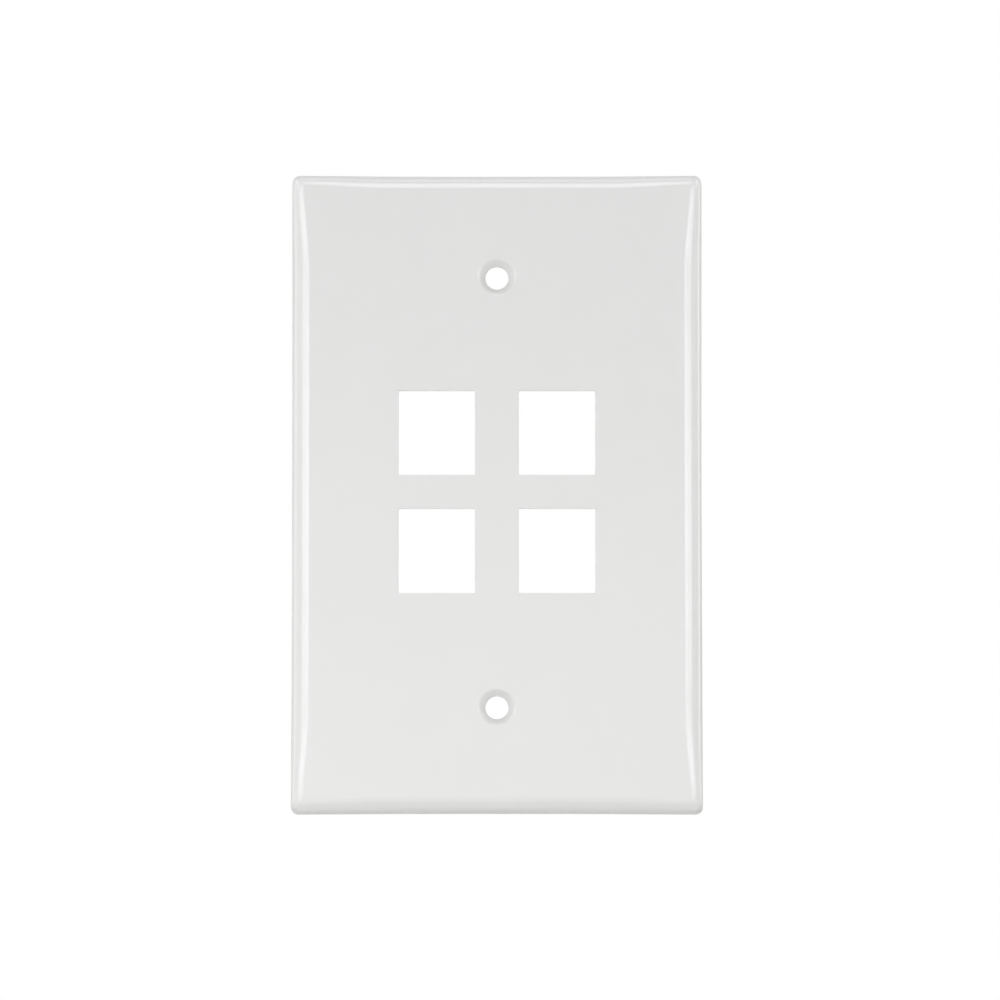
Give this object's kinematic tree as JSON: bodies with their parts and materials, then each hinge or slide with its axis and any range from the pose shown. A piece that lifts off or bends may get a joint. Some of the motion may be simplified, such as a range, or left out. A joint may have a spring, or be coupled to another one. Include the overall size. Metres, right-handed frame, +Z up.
{
  "type": "keystone faceplate",
  "caption": "Moulded single-gang wall plate with a grid of keystone ports for snap-in jacks, countersunk screw holes above and below, and a rounded front edge.",
  "frame": {"origin": "centre of the back rim, in the plane that lies on the wall", "axes": "upright as on the wall: +X across the plate, to the right as seen from the front, +Y into the wall, +Z up; the front faces -Y"},
  "size_m": [0.0794, 0.0099, 0.1238],
  "materials": {
    "moulded_plastic": "white, glossy, as moulded"
  },
  "bodies": {
    "root": {"faceplate": "moulded_plastic"}
  },
  "joints": []
}
